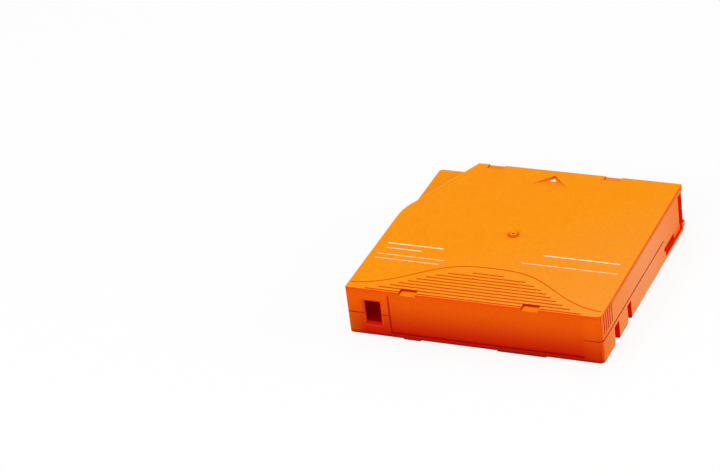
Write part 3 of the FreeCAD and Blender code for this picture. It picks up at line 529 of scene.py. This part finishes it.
# Painted shade on the label panel's ledge.
LEDGE_SHADE = (0.44, 0.001, 0.001, 1.0)
# Painted shade on the window's sill.
SILL_SHADE = (0.60, 0.004, 0.001, 1.0)
SHADE_RED = (0.28, 0.016, 0.002, 1.0)
# Painted red glow on the deep notch walls, for light that comes through the plastic.
NOTCH_GLOW_RED = (0.92, 0.003, 0.001, 1.0)
GLOW_RED = (0.95, 0.032, 0.001, 1.0)
# Painted shade in the window's pocket.
POCKET_SHADE = (0.20, 0.001, 0.001, 1.0)
EDGE_SPAN = (0.5 * MM, 2 * MM)
ROOF_SPAN = (0, 95 * MM)
GROOVE_SPAN = (FRONT_Y, -38 * MM)
WALL_SPAN = (-10 * MM, 30 * MM)


def case_tones(at, place):
    """Tone of each place by name, in the order of painting, many of them painted shade, sheen, a highlight
    or a glow; some are ramps along the case.
    """
    return {
        "sides": side_painted_sheen(at),
        "side top": EDGE_SHADE_ORANGE,
        "edge": at.behind_front.clamped(*EDGE_SPAN).blend(EDGE_SHADE_RED, EDGE_SHADE_ORANGE),
        "roof": (at.x - at.y).clamped(*ROOF_SPAN).blend(ROOF_ORANGE, ROOF_PALE),
        "guide highlight": GUIDE_HIGHLIGHT,
        "groove": at.y.clamped(*GROOVE_SPAN).blend(RIM_SHADE, GROOVE_SHADE),
        "side grip": place["groove"].blend(GRIP_ORANGE, RIM_SHADE),
        "wall": at.y.clamped(*WALL_SPAN).blend(NOTCH_GLOW_RED, GLOW_RED),
        "frame": FRAME_LIT_ORANGE,
        "sill": SILL_SHADE,
        "pocket": POCKET_SHADE,
        "recess": RECESS_SHADE,
        "recess floor": SUNK_FLOOR_SHADE,
        "seam": SEAM_RED,
        "brow": BROW_ORANGE,
        "ledge": LEDGE_SHADE,
        "panel rim": at.z.clamped(0.0, GRIP_FLOOR).blend(LEDGE_SHADE, RIM_SHADE),
        "arrow wall": ARROW_SHADE,
        "arrow floor": SUNK_FLOOR_SHADE,
        "gate": GATE_SHADE,
        "base": FRONT_ORANGE,
        "lower edge": SHADE_RED,
    }


print("roof, line and wall tones ready")

# %% [markdown]
# The surface has a fine spark-eroded texture: at arm's length it is satin with a faint grain, close up it
# is a field of tiny dimples. Modelling the dimples would take millions of faces, so two scales of noise
# become a bump, and the coarser one also speckles the colour. Deep walls and the window's pocket get a weak
# light of their own, for the light that comes through the plastic.

# %% Orange plastic
GLOW_LIGHT = (0.11, 0.001, 0.0, 1.0)
POCKET_LIGHT = (0.075, 0.0, 0.0, 1.0)
NO_LIGHT = (0.0, 0.0, 0.0, 1.0)
CLOUDS_PER_METRE, CLOUD_SHARE = 60.0, 0.02
DIMPLE, GRAIN, GRAIN_SHARE = 0.35 * MM, 1.1 * MM, 0.10
TEXTURE_DEPTH = 0.06 * MM
ARM_GLOW = 0.35


def orange_plastic(name, roughness, arm_top=0.0):
    """Satin moulded plastic: painted light and shade laid on by place, a painted red glow in deep walls,
    dimples from two noises.
    """
    material, position, normal = start_finish(name)
    at = measures(position, normal)
    place = case_places(at)
    colour = front_painted_shade(at)
    for where, tone in case_tones(at, place).items():
        colour = place[where].blend(colour, tone)
    # Painted red glow on the door's lower arm.
    colour = (ARM_GLOW * (at.z < arm_top)).blend(colour, GLOW_RED)
    cloud = position.noise(CLOUDS_PER_METRE, 3.0)
    colour = (cloud.clamped(0.35, 0.75) * CLOUD_SHARE).blend(colour, SHADED_FOOT_ORANGE)
    grain = position.noise(1 / GRAIN, 2.0)
    colour = (grain.clamped(0.35, 0.65) * GRAIN_SHARE).blend(colour, SHADED_FOOT_ORANGE)
    dimples = position.noise(1 / DIMPLE, 1.0) * 0.6 + grain * 0.4
    values = {
        "Base Color": colour,
        "Roughness": roughness + (dimples - 0.5) * 0.25,
        "Specular IOR Level": 0.03,
        "Emission Color": place["pocket"].blend(place["wall"].blend(NO_LIGHT, GLOW_LIGHT), POCKET_LIGHT),
        "Emission Strength": 1.0,
    }
    return end_finish(material, values, dimples, TEXTURE_DEPTH)


dress(orange_plastic("upper orange", 0.46), "upper_shell")
dress(orange_plastic("lower orange", 0.44), "lower_shell")
dress(orange_plastic("door orange", 0.40, arm_top=4.8 * MM), "door")

# %% [markdown]
# ## White and black mouldings inside
# The reel, the clip and the pad are moulded in natural white plastic, the brake in black. Smooth mouldings
# show faint flow lines round the gate in the middle. They could be drawn as a wave, but a wave is too even,
# so noise is read in rings: its coordinate is the distance from the reel's axis.

# %% Inner plastics
FLOW_RINGS, FLOW_SPOTS, FINE_GRAIN = 700.0, 180.0, 2500.0
MOULDED_DEPTH = 0.03 * MM
MOULDINGS = {
    "reel white": ((0.66, 0.66, 0.63, 1), (0.78, 0.78, 0.76, 1), 0.30, ["reel_hub", "upper_flange"]),
    "clip white": ((0.60, 0.60, 0.58, 1), (0.72, 0.72, 0.70, 1), 0.35, ["leader_clip"]),
    "pad white": ((0.58, 0.58, 0.55, 1), (0.70, 0.70, 0.68, 1), 0.40, ["release_pad"]),
    "brake black": ((0.020, 0.020, 0.022, 1), (0.045, 0.045, 0.048, 1), 0.42, ["brake_button"]),
}


def ring_distance(position):
    """Distance from the reel's axis: the root of x squared plus y squared."""
    x, y, _ = position.axes()
    return (x * x + y * y) ** 0.5


def in_rings(position):
    """A vector that varies only with the distance from the reel's axis."""
    return position.node("CombineXYZ", None, {0: ring_distance(position)})


def smooth_moulding(name, dark, light, roughness):
    """Smooth plastic between two tones, with flow lines in rings and fine speckle."""
    material, position, _ = start_finish(name)
    flow = in_rings(position).noise(FLOW_RINGS, 2.0) * 0.6 + position.noise(FLOW_SPOTS, 3.0) * 0.4
    grain = position.noise(FINE_GRAIN, 1.0)
    values = {
        "Base Color": flow.clamped(0.3, 0.7).blend(dark, light),
        "Roughness": roughness + (grain - 0.5) * 0.15,
    }
    return end_finish(material, values, grain, MOULDED_DEPTH)


for name, (dark, light, roughness, pieces) in MOULDINGS.items():
    dress(smooth_moulding(name, dark, light, roughness), *pieces)

# %% [markdown]
# ## Wound tape
# A wound roll seen from its side is hundreds of tape edges, so its flat faces carry very fine rings; the
# outer turn is smooth and shines. Hundreds of turns would be a heavy mesh for lines that are barely seen.
# A wave of the radius gives the edges instead, and slow noise of the same radius gives the bands where the
# winding was a little tighter.

# %% Tape
TURN = 0.22 * MM
EDGE_DEPTH = 0.02 * MM
BANDS_PER_METRE = 900.0
TAPE_DARK = (0.020, 0.015, 0.013, 1)
TAPE_BROWN = (0.060, 0.046, 0.040, 1)


def wound_tape(name):
    """Dark tape: edge rings as a sine of the radius, with slower bands of tone."""
    material, position, normal = start_finish(name)
    radius = ring_distance(position)
    side = abs(normal.axes()[2])
    edges = radius.math("SINE", radius * (2 * math.pi / TURN)) * 0.5 + 0.5
    bands = in_rings(position).noise(BANDS_PER_METRE, 3.0)
    values = {
        "Base Color": bands.clamped(0.3, 0.7).blend(TAPE_DARK, TAPE_BROWN),
        "Roughness": 0.22 + side * 0.2 + edges * side * 0.12,
    }
    return end_finish(material, values, edges * side, EDGE_DEPTH)


dress(wound_tape("tape"), "tape_pack", "tape_lead")

# %% [markdown]
# ## Steel
# The pin is turned, the plate under the hub is stamped and brushed, the screws are plated. What tells them
# apart is the direction of the fine marks: round the pin in level lines, in rings on the plate, and in no
# direction on the screws. Each could have a shader of its own, but one function that takes the direction as
# a vector field does for all.

# %% Steel finishes
MARK_DEPTH = 0.01 * MM


def level_lines(position):
    """Marks that run level round a piece turned about an upright axis."""
    return position.node("CombineXYZ", None, {2: position.axes()[2]})


def no_direction(position):
    """Even speckle."""
    return position


def steel(name, dark, light, roughness, field, scale):
    """Metal with fine marks: noise over a field that varies only across the marks."""
    material, position, _ = start_finish(name)
    marks = field(position).noise(scale, 2.0, 0.7)
    values = {
        "Base Color": marks.clamped(0.3, 0.7).blend(dark, light),
        "Metallic": 1.0,
        "Roughness": roughness + (marks - 0.5) * 0.3,
    }
    return end_finish(material, values, marks, MARK_DEPTH)


pin_steel = steel("pin steel", (0.50, 0.50, 0.50, 1), (0.70, 0.70, 0.69, 1), 0.24, level_lines, 4000)
plate_steel = steel("plate steel", (0.42, 0.42, 0.42, 1), (0.62, 0.62, 0.61, 1), 0.34, in_rings, 3500)
screw_steel = steel("screw steel", (0.30, 0.30, 0.31, 1), (0.46, 0.46, 0.47, 1), 0.38, no_direction, 2600)
spring_steel = steel("spring steel", (0.46, 0.46, 0.47, 1), (0.66, 0.66, 0.66, 1), 0.28, no_direction, 3800)
dress(pin_steel, "leader_pin")
dress(plate_steel, "clutch_plate")
dress(screw_steel, "case_screws")
dress(spring_steel, "lower_pin_spring", "upper_pin_spring", "door_spring", "brake_spring")

# %% [markdown]
# ## The memory board
# A small circuit board leans in one corner. Its aerial is a flat coil: nested rectangles of copper under
# green lacquer. Strips could be modelled, but copper this thin is little more than a change of colour. The
# distance to the rim of a rectangle, taken in steps, draws all the turns at once. The board is tilted by 45
# degrees, so the second coordinate is measured along its slope.

# %% Board and chip
board_low, board_high = [np.array(corner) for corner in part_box("memory_board")]
BOARD_X, BOARD_Y, BOARD_Z = ((board_low + board_high) / 2).tolist()
BOARD_HALF = (float(board_high[0] - board_low[0]) / 2, 4.7 * MM)
LEAN = math.sqrt(0.5)
TRACE_PITCH, TRACE_SHARE = 0.6 * MM, 0.55
AERIAL_INSETS = (0.5 * MM, 2.9 * MM)
COPPER_DEPTH = 0.03 * MM
LACQUER_SPOTS = 900.0
LACQUER_DARK = (0.008, 0.07, 0.026, 1)
LACQUER_GREEN = (0.014, 0.10, 0.04, 1)
COPPER_GREEN = (0.16, 0.24, 0.07, 1)


def aerial_board(name):
    """Green board: copper where the inset from the rim falls in the first part of each step."""
    material, position, _ = start_finish(name)
    x, y, z = position.axes()
    across = abs(x - BOARD_X)
    slope = abs((z - BOARD_Z) * LEAN - (y - BOARD_Y) * LEAN)
    inset = across.math("MINIMUM", BOARD_HALF[0] - across, BOARD_HALF[1] - slope)
    turns = (inset > AERIAL_INSETS[0]) * (inset < AERIAL_INSETS[1])
    copper = turns * (inset.math("FRACT", inset * (1 / TRACE_PITCH)) < TRACE_SHARE)
    lacquer = position.noise(LACQUER_SPOTS, 2.0).clamped(0.3, 0.7).blend(LACQUER_DARK, LACQUER_GREEN)
    values = {"Base Color": copper.blend(lacquer, COPPER_GREEN), "Roughness": 0.28 + copper * 0.08}
    return end_finish(material, values, copper, COPPER_DEPTH)


dress(aerial_board("board green"), "memory_board")
dress(smooth_moulding("chip resin", (0.010, 0.010, 0.010, 1), (0.028, 0.028, 0.028, 1), 0.5), "memory_chip")

# %% [markdown]
# ## Coil springs
# The CAD model has its springs in square wire with flat facets. Round wire reads better up close, and the
# shape has a formula: a circle carried along a helix. A bevelled curve would do too, but it would still
# have to be made a mesh. The frame of the helix at each angle is its outward direction and the direction
# square to both that and the wire, so the wire stays round on steep turns.


# %% Coil formula
def add_piece(name, points, faces, material, body, smooth=True):
    """A mesh object from arrays of points and faces, riding on a body."""
    mesh = bpy.data.meshes.new(name)
    mesh.from_pydata(points.tolist(), [], faces)
    mesh.update()
    mesh.polygons.foreach_set("use_smooth", np.full(len(mesh.polygons), smooth))
    mesh.materials.append(material)
    piece = bpy.data.objects.new(name, mesh)
    bpy.context.scene.collection.objects.link(piece)
    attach(piece, body)
    return piece


def coil_points(radius, wire, turns, length, around=10, per_turn=28):
    """Tube on a helix: helix(t) + wire/2 (cos a outward + sin a binormal), on a grid of t and a."""
    t = np.linspace(0, 1, int(turns * per_turn) + 1)
    angle = 2 * math.pi * turns * t
    climb = length / (2 * math.pi * turns * radius)
    outward = np.stack([np.cos(angle), np.sin(angle), np.zeros_like(t)], 1)
    along = np.stack([-np.sin(angle), np.cos(angle), np.full_like(t, climb)], 1)
    along /= np.linalg.norm(along, axis=1, keepdims=True)
    binormal = np.cross(outward, along)
    helix = outward * radius
    helix[:, 2] = length * t
    a = np.linspace(0, 2 * math.pi, around, endpoint=False)[None, :, None]
    ring = np.cos(a) * outward[:, None, :] + np.sin(a) * binormal[:, None, :]
    return helix[:, None, :] + wire / 2 * ring


def tube_faces(rows, columns):
    """Quads between neighbouring rings, with a cap on each end, all facing out."""
    i, k = np.meshgrid(np.arange(rows - 1), np.arange(columns), indexing="ij")
    n = (k + 1) % columns
    quads = np.stack([(i + 1) * columns + k, (i + 1) * columns + n, i * columns + n, i * columns + k], -1)
    caps = np.stack([np.arange(columns), rows * columns - 1 - np.arange(columns)])
    return quads.reshape(-1, 4).tolist() + caps.tolist()


print("coil formula ready")

# %% [markdown]
# The brake spring stands between the brake button and the roof; its upper end stays, and the lower one
# goes up with the brake. The door spring lies in a channel of the right wall, behind the door. In the
# cartridge each shortens when its joint moves; here both coils ride on the case.

# %% Two springs
BRAKE_COIL = {"radius": 7.4 * MM, "wire": 0.9 * MM, "turns": 5}
DOOR_COIL = {"radius": 0.8 * MM, "wire": 0.4 * MM, "turns": 12, "around": 8, "per_turn": 18}


def span(node, axis):
    """Lowest and highest place of a node along one axis."""
    low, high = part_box(node)
    return low[axis], high[axis]


low, high = span("brake_spring", 2)
grid = coil_points(length=high - low - BRAKE_COIL["wire"], **BRAKE_COIL)
grid[..., 2] += low + BRAKE_COIL["wire"] / 2
brake_coil = add_piece("brake_coil", grid.reshape(-1, 3), tube_faces(*grid.shape[:2]), spring_steel, "case")
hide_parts("brake_spring")
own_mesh(brake_coil)

low, high = span("door_spring", 1)
grid = coil_points(length=high - low - DOOR_COIL["wire"], **DOOR_COIL)
middle = (np.array(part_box("door_spring")[0]) + np.array(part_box("door_spring")[1])) / 2
lying = np.stack([
    grid[..., 0] + middle[0],
    grid[..., 2] + low + DOOR_COIL["wire"] / 2,
    middle[2] - grid[..., 1],
], -1)
door_coil = add_piece("door_coil", lying.reshape(-1, 3), tube_faces(*grid.shape[:2]), spring_steel, "case")
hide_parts("door_spring")
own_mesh(door_coil)
print("coils:", len(brake_coil.data.polygons), len(door_coil.data.polygons), "faces")

# %% [markdown]
# ## White print
# The roof carries plain ruled lines in white ink on both sides of the grip area. A colour in the roof's own
# shader would do from afar. But ink lies on the plastic as a film about a hundredth of a millimetre thick,
# so each rule is a thin closed slab, which keeps its edges sharp at any distance.

# %% Printed rules
INK = 0.01 * MM
INK_SPOTS = 2200.0
INK_WHITE = (0.86, 0.84, 0.80, 1)
INK_THIN = (0.90, 0.66, 0.44, 1)
SLAB_FACES = np.array([(0, 1, 3, 2), (4, 6, 7, 5), (0, 4, 5, 1), (2, 3, 7, 6), (0, 2, 6, 4), (1, 5, 7, 3)])
# Each rule, in millimetres: left end, right end, place along y, width
RULES = {
    "left_rules": [
        (-47.9, -24.4, -16.5, 0.5),
        (-47.4, -32.5, -20.0, 0.4),
        (-49.2, -21.0, -24.7, 0.25),
        (-49.2, -22.2, -27.8, 0.25),
    ],
    "right_rules": [
        (16.4, 47.8, -13.0, 0.5),
        (9.8, 49.0, -19.9, 0.25),
    ],
}


def slab_points(xs, ys, zs):
    """The eight corners of a slab: every mix of its limits along the three axes."""
    return np.stack(np.meshgrid(xs, ys, zs, indexing="ij"), -1).reshape(-1, 3)


def white_ink(name):
    """Screen-printed white: slightly thin in places."""
    material, position, _ = start_finish(name)
    thin = position.noise(INK_SPOTS, 2.0)
    values = {
        "Base Color": thin.clamped(0.55, 0.8).blend(INK_WHITE, INK_THIN),
        "Roughness": 0.4 + thin * 0.2,
    }
    return end_finish(material, values, thin, INK)


ink = white_ink("white ink")
for name, rules in RULES.items():
    slabs = [
        slab_points((x0 * MM, x1 * MM), ((y - w / 2) * MM, (y + w / 2) * MM), (ROOF - INK, ROOF + INK))
        for x0, x1, y, w in rules
    ]
    faces = (SLAB_FACES[None] + 8 * np.arange(len(slabs))[:, None, None]).reshape(-1, 4)
    piece = add_piece(name, np.concatenate(slabs), faces.tolist(), ink, "case", smooth=False)
    print(name, len(rules), "rules")

# %% [markdown]
# The sunk arrow that shows which end goes in first has a small white triangle near its tip. It is the same
# film of ink, and a flat one would hang over the arrow's ramp, so each corner takes its height from the
# ramp's slope.

# %% Arrow mark
RAMP_DEPTH = 0.9 * MM
MARK = np.array([(-1.1, 43.2), (1.6, 43.2), (0.3, 45.8)]) * MM


def on_ramp(plan, lift):
    """Corners in plan, put on the ramp: roof minus depth times the share of the way to the tip."""
    share = (plan[:, 1] - ARROW_BASE) / (ARROW_TIP - ARROW_BASE)
    return np.column_stack([plan, ROOF - RAMP_DEPTH * share + lift])


mark_points = np.concatenate([on_ramp(MARK, -INK), on_ramp(MARK, INK)])
mark_faces = [(2, 1, 0), (3, 4, 5), (0, 1, 4, 3), (1, 2, 5, 4), (2, 0, 3, 5)]
arrow_mark = add_piece("arrow_mark", mark_points, mark_faces, ink, "case", smooth=False)
print("arrow mark from y", MARK[:, 1].min(), "to", MARK[:, 1].max())

# %% [markdown]
# ## Studio
# The object lies on a pale floor that runs on to the horizon. More light would make the floor white, but it
# would bleach the object too. So to the camera the floor is almost white, yet it keeps a soft shadow, and
# to the object it is a dimmer grey, so that the front does not glow from below. The Light Path node tells
# the two kinds of ray apart.

# %% Floor
FLOOR_HALF = 3.0
FLOOR_DROP = 0.02 * MM
FLOOR_GREY = (0.5, 0.5, 0.5, 1)
FLOOR_LIGHT, FLOOR_LIGHT_SHARE = 1.1, 0.8
WHITE = (1, 1, 1, 1)


def seen_directly(start):
    """1 for rays from the camera, also by way of a mirror or glass; 0 for light that bounces on."""
    path = start.node("LightPath").output.node
    camera_ray, glossy, clear = [
        Wire(start.tree, path.outputs[k]) for k in ("Is Camera Ray", "Is Glossy Ray", "Is Transmission Ray")
    ]
    return start.math("MINIMUM", camera_ray + glossy + clear, 1.0)


def studio_floor(name):
    """Grey diffuse floor, mixed with white light for what the camera and reflections see."""
    material, start = empty_material(name)
    share = seen_directly(start) * FLOOR_LIGHT_SHARE
    grey = start.node("BsdfDiffuse", None, {"Color": FLOOR_GREY})
    white = start.node("Emission", None, {"Color": WHITE, "Strength": FLOOR_LIGHT})
    mixed = start.node("MixShader", None, {0: share, 1: grey, 2: white})
    start.node("OutputMaterial", None, {"Surface": mixed})
    return material


corners = np.array([(-1, -1, 0), (1, -1, 0), (1, 1, 0), (-1, 1, 0)]) * FLOOR_HALF - (0, 0, FLOOR_DROP)
floor_mesh = bpy.data.meshes.new("floor")
floor_mesh.from_pydata(corners.tolist(), [], [(0, 1, 2, 3)])
floor_mesh.materials.append(studio_floor("floor"))
floor = bpy.data.objects.new("floor", floor_mesh)
bpy.context.scene.collection.objects.link(floor)
print("floor", 2 * FLOOR_HALF, "m wide")

# %% [markdown]
# A wide lamp overhead lights the roof, one at the right lights the door side, whose sheen is painted into
# its colour, and one in front fills the label face. A sun would give hard shadows; area lamps this wide
# keep them soft. The world is dim as a light and white to the camera, again by Light Path.

# %% Lamps and world
# Each lamp: its place, what it is aimed at, its size in metres and its power in watts
LAMPS = {
    "overhead": ((-0.2, 0.15, 1.2), (0, 0, 0), 1.2, 9.0),
    "right_side": ((1.1, 0.3, 0.35), (0, 0, 0.01), 0.7, 7.0),
    "front_fill": ((-0.3, -1.2, 0.7), (0, 0, 0.01), 0.8, 9.8),
}
SKY_LIGHT, SKY_SEEN = 0.35, 1.0
for name, (place, aim, size, power) in LAMPS.items():
    data = bpy.data.lights.new(name, "AREA")
    data.size = size
    data.energy = power
    lamp = bpy.data.objects.new(name, data)
    lamp.location = place
    lamp.rotation_euler = (Vector(place) - Vector(aim)).to_track_quat("Z", "Y").to_euler()
    bpy.context.scene.collection.objects.link(lamp)

world = bpy.data.worlds.new("studio")
bpy.context.scene.world = world
world.use_nodes = True
world.node_tree.nodes.clear()
sky = Wire(world.node_tree)
strength = SKY_LIGHT + seen_directly(sky) * (SKY_SEEN - SKY_LIGHT)
light = sky.node("Background", None, {"Color": WHITE, "Strength": strength})
sky.node("OutputWorld", None, {"Surface": light})
bpy.context.scene.view_settings.view_transform = "Standard"
print("lamps:", ", ".join(LAMPS))
